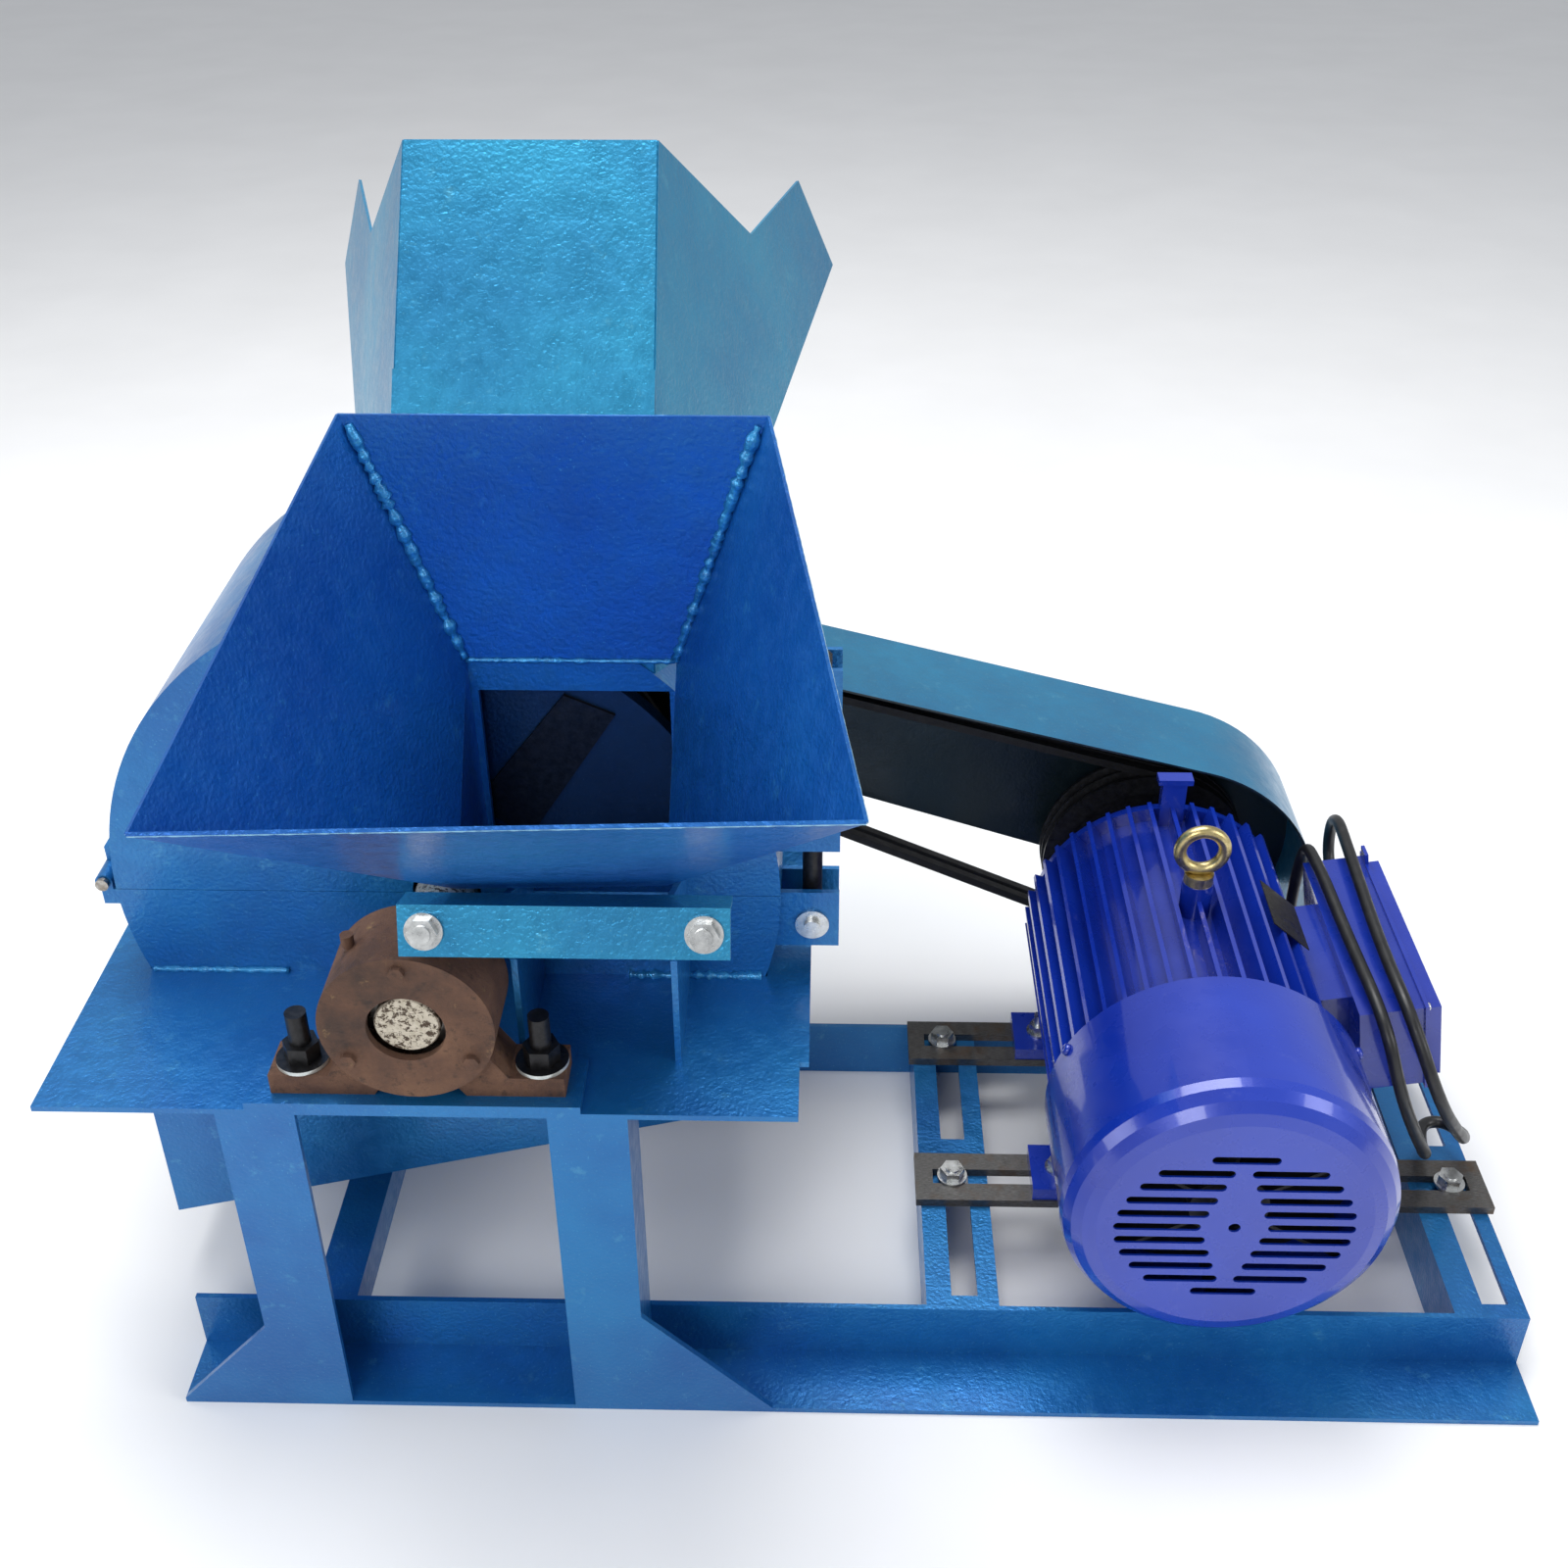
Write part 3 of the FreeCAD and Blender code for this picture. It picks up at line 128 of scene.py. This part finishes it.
def hammertone(name, low, high, light, metallic=0.55, pit=1.0, primer_and_shade=None):
    """Brushed-on metallic paint over rolled sheet: small dimples and chalky scuffs.

    The optional dark colour goes on the faces that look to the front or down: a dark primer assumed for a
    guard's inside, and painted shade on the faces that look down.
    """
    n = Nodes(name)
    broad = n.noise(5.0, 4.0)
    color = n.ramp(broad, (0.32, low), (0.7, high))
    scuff = n.grey(n.noise(34, 6.0, 0.7), (0.6, 0.0), (0.78, 0.55))
    color = n.mix(scuff, color, light)
    specks = n.grey(n.noise(420, 2.0), (0.66, 0.0), (0.74, 0.5))
    color = n.mix(specks, color, light)
    # painted shade: faces looking front or down get the dark colour (assumed dark primer inside the guard,
    # shade on the downward faces)
    if primer_and_shade:
        split = n.tree.nodes.new("ShaderNodeSeparateXYZ")
        n.link(n.tree.nodes.new("ShaderNodeTexCoord").outputs["Normal"], split.inputs[0])
        lowest = n.add("ShaderNodeMath")
        lowest.operation = "MINIMUM"
        n.link(split.outputs["Y"], lowest.inputs[0])
        n.link(split.outputs["Z"], lowest.inputs[1])
        inside = n.add("ShaderNodeMath")
        inside.operation = "LESS_THAN"
        inside.inputs[1].default_value = -0.3
        n.link(lowest.outputs[0], inside.inputs[0])
        color = n.mix(inside.outputs[0], color, n.mix(broad, primer_and_shade, (0.02, 0.045, 0.06)))
    rough = n.grey(n.noise(60, 4.0), (0.3, 0.28), (0.75, 0.5))
    dimple = n.noise(240, 2.5, 0.5)
    n.bump((dimple, 0.42 * pit, 0.0016), (n.noise(30, 3.0), 0.25, 0.003))
    return n.finish(color, rough, metallic, 0.35, 0.16)


def steel(name, low, high, rough_low, rough_high, stretch=(1, 1, 1), metallic=1.0, rust=None):
    n = Nodes(name)
    grain = n.noise(150, 5.0, 0.7, stretch)
    color = n.ramp(grain, (0.3, low), (0.72, high))
    if rust:
        patch = n.grey(n.noise(22, 6.0, 0.72), (0.5, 0.0), (0.66, 0.9))
        color = n.mix(patch, color, rust)
    rough = n.grey(n.noise(90, 4.0), (0.3, rough_low), (0.75, rough_high))
    n.bump((grain, 0.25, 0.0008), (n.noise(700, 2.0), 0.12, 0.0004))
    return n.finish(color, rough, metallic)


def casting(name):
    n = Nodes(name)
    broad = n.noise(14, 7.0, 0.7)
    color = n.ramp(broad, (0.3, (0.045, 0.022, 0.014)), (0.5, (0.12, 0.058, 0.034)),
                   (0.72, (0.2, 0.105, 0.06)))
    gold = n.grey(n.noise(38, 6.0, 0.75), (0.6, 0.0), (0.72, 0.8))
    color = n.mix(gold, color, (0.30, 0.19, 0.08))
    dark = n.grey(n.noise(90, 5.0, 0.7), (0.3, 0.75), (0.45, 0.0))
    color = n.mix(dark, color, (0.03, 0.018, 0.014))
    n.bump((n.noise(110, 8.0, 0.75), 0.7, 0.0025), (n.noise(520, 3.0), 0.3, 0.0008))
    return n.finish(color, n.grey(broad, (0.3, 0.62), (0.7, 0.85)), 0.15)


def gloss(name, low, high):
    """Sprayed gloss enamel over a casting."""
    n = Nodes(name)
    color = n.ramp(n.noise(4, 3.0), (0.3, low), (0.75, high))
    dust = n.grey(n.noise(55, 7.0, 0.75), (0.62, 0.0), (0.85, 0.3))
    color = n.mix(dust, color, (0.20, 0.24, 0.55))
    n.bump((n.noise(60, 3.0), 0.10, 0.002), (n.noise(320, 2.0), 0.08, 0.0006))
    return n.finish(color, n.grey(n.noise(25, 4.0), (0.3, 0.22), (0.8, 0.38)), 0.12, 0.75, 0.06)


def speckled(name):
    """A turned face with brown pits."""
    n = Nodes(name)
    grain = n.noise(160, 5.0, 0.7)
    color = n.ramp(grain, (0.3, (0.42, 0.37, 0.28)), (0.7, (0.66, 0.60, 0.50)))
    pits = n.grey(n.noise(210, 4.0, 0.75), (0.5, 0.0), (0.56, 0.95))
    color = n.mix(pits, color, (0.05, 0.028, 0.016))
    n.bump((grain, 0.3, 0.001))
    return n.finish(color, n.grey(grain, (0.3, 0.35), (0.7, 0.6)), 0.7)


def zinc_under_black(name, *bands):
    """Black studs and nuts whose flat washers, at the heights given as bands, are zinc plated."""
    n = Nodes(name)
    split = n.tree.nodes.new("ShaderNodeSeparateXYZ")
    n.link(n.place, split.inputs[0])
    found = None
    for low, high in bands:
        test = n.add("ShaderNodeMath")
        test.operation = "COMPARE"
        test.inputs[1].default_value = (low + high) / 2
        test.inputs[2].default_value = (high - low) / 2
        n.link(split.outputs["Z"], test.inputs[0])
        if found:
            both = n.add("ShaderNodeMath")
            both.operation = "MAXIMUM"
            n.link(found, both.inputs[0])
            n.link(test.outputs[0], both.inputs[1])
            found = both.outputs[0]
        else:
            found = test.outputs[0]
    grain = n.noise(150, 5.0, 0.7)
    black = n.ramp(grain, (0.3, (0.008, 0.008, 0.009)), (0.7, (0.03, 0.03, 0.032)))
    zinc = n.ramp(grain, (0.3, (0.50, 0.53, 0.50)), (0.7, (0.76, 0.79, 0.76)))
    n.bump((grain, 0.25, 0.0008))
    return n.finish(n.mix(found, black, zinc), n.grey(grain, (0.3, 0.3), (0.75, 0.48)), 0.6)


def rubber(name, tone, rough=0.5, bump=0.3):
    n = Nodes(name)
    dust = n.grey(n.noise(40, 6.0, 0.75), (0.55, 0.0), (0.8, 0.25))
    color = n.mix(dust, tone, (0.11, 0.11, 0.11))
    n.bump((n.noise(600, 3.0), bump, 0.0005), (n.noise(70, 3.0), 0.15, 0.001))
    return n.finish(color, n.grey(n.noise(60), (0.3, rough - 0.12), (0.8, rough + 0.12)))


PAINT = hammertone("blue_hammertone", (0.008, 0.115, 0.36), (0.014, 0.19, 0.46), (0.10, 0.38, 0.56))
HOPPER = hammertone("blue_hopper", (0.004, 0.085, 0.36), (0.008, 0.14, 0.46), (0.05, 0.30, 0.55), 0.5, 1.2)
# a lighter copy of the blue paint for the top hopper, its neck and the throat bar: painted highlight for the
# light these sheets catch
PAINT_WITH_HIGHLIGHT = hammertone("blue_bin_painted_highlight", (0.014, 0.20, 0.40), (0.025, 0.30, 0.50), (0.12, 0.44, 0.58), 0.6, 1.3)
SHADE = hammertone("blue_inside", (0.002, 0.016, 0.05), (0.004, 0.03, 0.08), (0.02, 0.06, 0.12), 0.4)
# the last colour is the guard's dark inside: an assumed dark primer, plus painted shade on the downward
# faces
PAINT_SMOOTH = hammertone("blue_guard", (0.014, 0.17, 0.34), (0.022, 0.25, 0.44),
                          (0.12, 0.40, 0.55), 0.5, 0.5,
                          (0.008, 0.016, 0.022))
# lighter blue for the hopper rims: edge wear, and a painted highlight along the sheet edges
RIM_WEAR_AND_HIGHLIGHT = hammertone("blue_worn_and_highlit_edge", (0.16, 0.42, 0.60), (0.32, 0.58, 0.72), (0.5, 0.66, 0.74), 0.5, 0.8)
WELD = hammertone("blue_weld", (0.012, 0.15, 0.40), (0.03, 0.30, 0.60), (0.30, 0.55, 0.70), 0.5, 2.0)
RAW = steel("raw_steel", (0.055, 0.053, 0.05), (0.20, 0.195, 0.19), 0.36, 0.58, (1, 8, 8), 0.9,
            (0.12, 0.085, 0.06))
ZINC = steel("zinc", (0.52, 0.53, 0.52), (0.78, 0.79, 0.78), 0.22, 0.42)
BRIGHT = steel("turned_steel", (0.36, 0.35, 0.33), (0.62, 0.61, 0.58), 0.22, 0.4, (1, 1, 1), 1.0,
               (0.18, 0.14, 0.10))
BLACKED = steel("black_nut", (0.008, 0.008, 0.009), (0.03, 0.03, 0.032), 0.3, 0.5, (1, 1, 1), 0.6)
GOLD = steel("yellow_zinc", (0.42, 0.33, 0.13), (0.72, 0.60, 0.32), 0.25, 0.45)
CAST = casting("brown_casting")
IRON = steel("pulley_iron", (0.012, 0.012, 0.014), (0.05, 0.05, 0.055), 0.35, 0.6, (1, 1, 1), 0.7)
MOTOR = gloss("motor_blue", (0.004, 0.022, 0.30), (0.008, 0.045, 0.46))
BELT = rubber("belt_rubber", (0.010, 0.010, 0.011), 0.6, 0.5)
CORD = rubber("cord_rubber", (0.008, 0.008, 0.009), 0.42, 0.15)
FAN = rubber("fan_plastic", (0.014, 0.014, 0.018), 0.5, 0.1)
SPECKLED = speckled("speckled_shaft")
STUD = zinc_under_black("stud_with_washers", (0.409, 0.419), (0.449, 0.453))
PLATE = steel("blank_plate", (0.01, 0.01, 0.01), (0.05, 0.045, 0.03), 0.25, 0.45, (1, 1, 1), 0.6)

FINISHES = {
    "screen": RAW, "motor_slide_bars": RAW, "rotor_discs": RAW, "chipper_disc": SHADE, "hammer_pins": BRIGHT,
    "hammers_row_a": RAW, "hammers_row_b": RAW, "hammers_row_c": RAW, "hammers_row_d": RAW,
    "swing_bolt_front": BLACKED, "latch_pins": ZINC, "throat_bar_bolts": ZINC,
    "bearing_bolts": STUD, "slide_bar_bolts": ZINC, "motor_foot_bolts": ZINC, "bearing_cover_bolts": CAST,
    "hinge_pins": BRIGHT, "rotor_shaft": SPECKLED, "motor_rotor_shaft": BRIGHT, "bearing_rings": BRIGHT,
    "bearing_inner_rings": BRIGHT, "bed_knife": BRIGHT, "chipper_knives": BLACKED, "bearing_housings": CAST,
    "bearing_covers": CAST, "mill_pulley": IRON, "motor_pulley": IRON, "v_belts": BELT, "motor_frame": MOTOR,
    "motor_end_shields": MOTOR, "fan_cover": MOTOR, "terminal_box": MOTOR, "terminal_box_lid": MOTOR,
    "power_cable": CORD, "cable_gland": FAN, "cooling_fan": FAN, "motor_eyebolt": GOLD,
    "motor_nameplate": PLATE, "belt_guard": PAINT_SMOOTH, "front_hopper": HOPPER,
    "throat_bar": PAINT_WITH_HIGHLIGHT, "top_hopper": PAINT_WITH_HIGHLIGHT, "top_neck": PAINT_WITH_HIGHLIGHT,
}
for name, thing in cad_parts.items():
    finish = FINISHES.get(name, PAINT)
    if not thing.data.materials:
        thing.data.materials.append(finish)
    for slot in thing.material_slots:
        slot.material = finish


# ---- mesh helpers ---------------------------------------------------------------
def piece(name, mesh, material, body):
    """A smooth-shaded mesh that rides on a body."""
    thing = bpy.data.objects.new(name, mesh)
    scene.collection.objects.link(thing)
    thing.data.materials.append(material)
    for face in mesh.polygons:
        face.use_smooth = True
    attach(thing, body)
    return thing


def bead(name, points, radius, material, body, lump=0.35, step=0.004, sides=8):
    """A weld bead or a lighter sheet rim, worn and with painted highlight: a lumpy tube that follows a line
    of points.
    """
    mesh = bpy.data.meshes.new(name)
    made = bmesh.new()
    for start, end in zip(points, points[1:]):
        count = max(2, int((end - start).length / step))
        along = (end - start).normalized()
        side = along.orthogonal().normalized()
        other = along.cross(side)
        rings = []
        for index in range(count + 1):
            center = start.lerp(end, index / count)
            wobble = radius * (1 + lump * random.uniform(-1, 1))
            ring = []
            for turn in range(sides):
                angle = math.tau * turn / sides
                reach = wobble * (1 + lump * 0.3 * random.uniform(-1, 1))
                spread = side * math.cos(angle) + other * math.sin(angle)
                ring.append(made.verts.new(center + spread * reach))
            rings.append(ring)
        for before, after in zip(rings, rings[1:]):
            for turn in range(sides):
                following = (turn + 1) % sides
                made.faces.new((before[turn], before[following], after[following], after[turn]))
        made.faces.new(rings[0][::-1])
        made.faces.new(rings[-1])
    bmesh.ops.recalc_face_normals(made, faces=made.faces)
    made.to_mesh(mesh)
    made.free()
    return piece(name, mesh, material, body)


# ---- welds -----------------------------------------------------------------------
FEED_X = 141.5
FEED_BACK = 127.5
TOP_HALF, TOP_Z = 181.1, 1018.7
GATE_HALF, GATE_Z = 97.0, 784.7
INSET = 3.0


def line(*points):
    return [at(*point) for point in points]


def weld(name, points, radius, body="cover", lump=0.35, material=WELD):
    bead(name, points, radius, material, body, lump)


front_face = FEED_BACK - INSET
for side, sign in (("left", -1), ("right", 1)):
    high = (FEED_X + sign * (TOP_HALF - INSET - 6), front_face, TOP_Z - 8)
    low = (FEED_X + sign * (GATE_HALF - INSET + 2), front_face, GATE_Z + 4)
    weld("hopper_corner_weld_" + side, line(high, low), 0.0048, lump=0.5)
weld("hopper_gate_weld", line((FEED_X - GATE_HALF + 2, front_face, GATE_Z + 1),
                              (FEED_X + GATE_HALF - 2, front_face, GATE_Z + 1)), 0.0022)

# the lighter rims of the front hopper's sheets: worn edges, with painted highlight where the sheet edges
# catch the light
LIP_Y, LIP_Z = -269.3, 872.4
FOLD_HALF, FOLD_Y, FOLD_Z = 93.7, -20.0, 640.0
LEAN = 0.033


def lip_corner(sign):
    """Where the side sheet, the bottom sheet and the lip's upright plane meet."""
    top = Vector((FEED_X + sign * TOP_HALF, FEED_BACK, TOP_Z))
    gate = Vector((FEED_X + sign * GATE_HALF, FEED_BACK, GATE_Z))
    fold = Vector((FEED_X + sign * FOLD_HALF, FOLD_Y, FOLD_Z + LEAN * sign * FOLD_HALF))
    normal = (gate - top).cross(fold - top)
    start = Vector((FEED_X, LIP_Y, LIP_Z))
    along = Vector((1, 0, LEAN))
    return top, start + along * (normal.dot(top - start) / normal.dot(along))


RIM = 0.0019
RIM_IN = Vector((0, 0.0022, -0.0022))
top_left, lip_left = lip_corner(-1)
top_right, lip_right = lip_corner(1)
RIM_ENDS = {"left": (top_left, lip_left), "right": (top_right, lip_right),
            "lip": (lip_left, lip_right), "back": (top_left, top_right)}
for label, ends in RIM_ENDS.items():
    places = [at(*end) + RIM_IN for end in ends]
    weld("hopper_rim_wear_highlight_" + label, places, RIM, lump=0.12, material=RIM_WEAR_AND_HIGHLIGHT)

DRUM = 330.0
AXLE = 520.0
DECK = 419.0
DRUM_FRONT = 129.0
reach = math.sqrt(DRUM ** 2 - (AXLE - DECK) ** 2) - 4
BEARING_LEFT, BEARING_RIGHT = -172, 176  # the welds stop where the bearing's sole plate begins


def deck_line(left, right):
    """A line along the joint of the drum's front cheek and the deck."""
    return line((left, DRUM_FRONT - 1, DECK + 1), (right, DRUM_FRONT - 1, DECK + 1))


weld("drum_deck_weld_left", deck_line(-reach, BEARING_LEFT), 0.0035, "base")
weld("drum_deck_weld_right", deck_line(BEARING_RIGHT, reach), 0.0045, "base", 0.5)

# ---- screws ------------------------------------------------------------------------
MOTOR_X, MOTOR_Z = 780.0, 245.0
COWL = 168.0


def dome(name, place, outward, radius, height, material, body):
    """A pan-head screw: a low domed head with a shallow round dip in its middle, standing along outward."""
    mesh = bpy.data.meshes.new(name)
    made = bmesh.new()
    outward = outward.normalized()
    side = outward.orthogonal().normalized()
    other = outward.cross(side)
    profile = ((1.0, 0.0), (1.0, 0.35), (0.86, 0.75), (0.55, 0.98), (0.3, 1.0), (0.22, 0.62))
    sides = 20
    rings = []
    for share, rise in profile:
        ring = []
        for index in range(sides):
            angle = math.tau * index / sides
            spread = (side * math.cos(angle) + other * math.sin(angle)) * radius * share
            ring.append(made.verts.new(place + spread + outward * height * rise))
        rings.append(ring)
    for before, after in zip(rings, rings[1:]):
        for index in range(sides):
            following = (index + 1) % sides
            made.faces.new((before[index], before[following], after[following], after[index]))
    made.faces.new(rings[0][::-1])
    made.faces.new(rings[-1])
    bmesh.ops.recalc_face_normals(made, faces=made.faces)
    made.to_mesh(mesh)
    made.free()
    return piece(name, mesh, material, body)


for index, degrees in enumerate((-64, 64, -116, 116)):
    angle = math.radians(degrees)
    outward = Vector((math.sin(angle), 0, math.cos(angle)))
    place = at(MOTOR_X + outward.x * (COWL - 0.5), 137, MOTOR_Z + outward.z * (COWL - 0.5))
    dome(f"fan_cover_screw_{index + 1}", place, outward, 0.0065, 0.0055, MOTOR, "motor")

# the terminal box leans outward at its top, and its lid has a screw in each corner
BOX_X, BOX_Z = 948.0, 290.0
LID_LEAN = Matrix.Rotation(math.radians(-10), 3, "Y")
lid_out = LID_LEAN @ Vector((1, 0, 0))
for index, (y, z) in enumerate(((183, 43), (183, -57), (450, 43), (450, -57))):
    flat = LID_LEAN @ Vector((71, 0, z))
    place = at(BOX_X + flat.x, y, BOX_Z + flat.z)
    dome(f"lid_screw_{index + 1}", place, lid_out, 0.0045, 0.0035, ZINC, "motor")

# ---- power cable -----------------------------------------------------------------
ROUTE = [
    (996, 463, 268), (997, 544, 270), (991, 538, 362), (984, 418, 366), (979, 262, 362),
    (984, 152, 356), (1020, 112, 268), (1072, 160, 180), (1094, 198, 142), (1108, 236, 114),
    (1092, 262, 108), (1066, 256, 107), (1056, 212, 110), (1048, 178, 134), (1016, 146, 195),
    (980, 128, 275), (957, 148, 352), (950, 290, 355), (945, 416, 362), (942, 481, 352),
    (943, 480, 250),
]
curve = bpy.data.curves.new("supply_cable", "CURVE")
curve.dimensions = "3D"
curve.bevel_depth = 0.007
curve.bevel_resolution = 5
curve.resolution_u = 16
curve.use_fill_caps = True
spline = curve.splines.new("NURBS")
spline.points.add(len(ROUTE) - 1)
for point, place in zip(spline.points, ROUTE):
    point.co = (*at(*place), 1)
spline.order_u = 3
spline.use_endpoint_u = True
cable = bpy.data.objects.new("supply_cable", curve)
scene.collection.objects.link(cable)
curve.materials.append(CORD)
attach(cable, "motor")
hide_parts("power_cable")

# ---- camera ------------------------------------------------------------------------
PITCH = math.radians(33.048)
YAW = math.radians(-1.50)
ROLL = -0.0044
ahead_flat = Vector((math.sin(YAW), math.cos(YAW), 0))
right_flat = Vector((math.cos(YAW), -math.sin(YAW), 0))
ahead = ahead_flat * math.cos(PITCH) - Vector((0, 0, math.sin(PITCH)))
upward = ahead_flat * math.sin(PITCH) + Vector((0, 0, math.cos(PITCH)))
right = right_flat * math.cos(ROLL) + upward * math.sin(ROLL)
above = upward * math.cos(ROLL) - right_flat * math.sin(ROLL)
turn = Matrix((right, above, -ahead)).transposed().to_4x4()
lens = bpy.data.cameras.new("camera")
lens.sensor_width = 36
lens.lens = 1837.58 / 1600 * 36
lens.clip_end = 50
camera = bpy.data.objects.new("camera", lens)
camera.matrix_world = Matrix.Translation(at(371.16, -1297.0, 1580.17)) @ turn
scene.collection.objects.link(camera)
scene.camera = camera

# ---- light and floor -----------------------------------------------------------------


def softbox(name, place, target, size, power, color=(1, 1, 1)):
    data = bpy.data.lights.new(name, "AREA")
    data.shape = "RECTANGLE"
    data.size, data.size_y = size
    data.energy = power
    data.color = color
    thing = bpy.data.objects.new(name, data)
    thing.location = place
    thing.rotation_euler = (Vector(target) - Vector(place)).to_track_quat("-Z", "Y").to_euler()
    scene.collection.objects.link(thing)


softbox("key", (-0.4, 0.9, 4.2), (0, 0, 0.6), (3.0, 2.4), 150)
softbox("front", (-1.2, -3.6, 2.6), (0, 0, 0.5), (2.0, 1.4), 55)
softbox("left", (-3.6, -0.6, 1.8), (-0.2, 0, 0.5), (1.6, 2.2), 40, (0.95, 0.98, 1))
softbox("right", (3.4, -1.4, 2.2), (0.4, 0, 0.4), (1.6, 2.0), 42)
world = bpy.data.worlds.new("studio")
scene.world = world
world.use_nodes = True
background = world.node_tree.nodes["Background"]
background.inputs["Color"].default_value = (0.92, 0.95, 1, 1)
background.inputs["Strength"].default_value = 0.5
scene.view_settings.view_transform = "Standard"

floor_mesh = bpy.data.meshes.new("floor")
floor_mesh.from_pydata([(-9, -7, 0), (9, -7, 0), (9, 11, 0), (-9, 11, 0)], [], [(0, 1, 2, 3)])
floor = bpy.data.objects.new("floor", floor_mesh)
scene.collection.objects.link(floor)
n = Nodes("pale_floor")
floor_tone = n.grey(n.noise(3), (0.3, 0.86), (0.8, 0.9))
floor_mesh.materials.append(n.finish(floor_tone, 0.9))
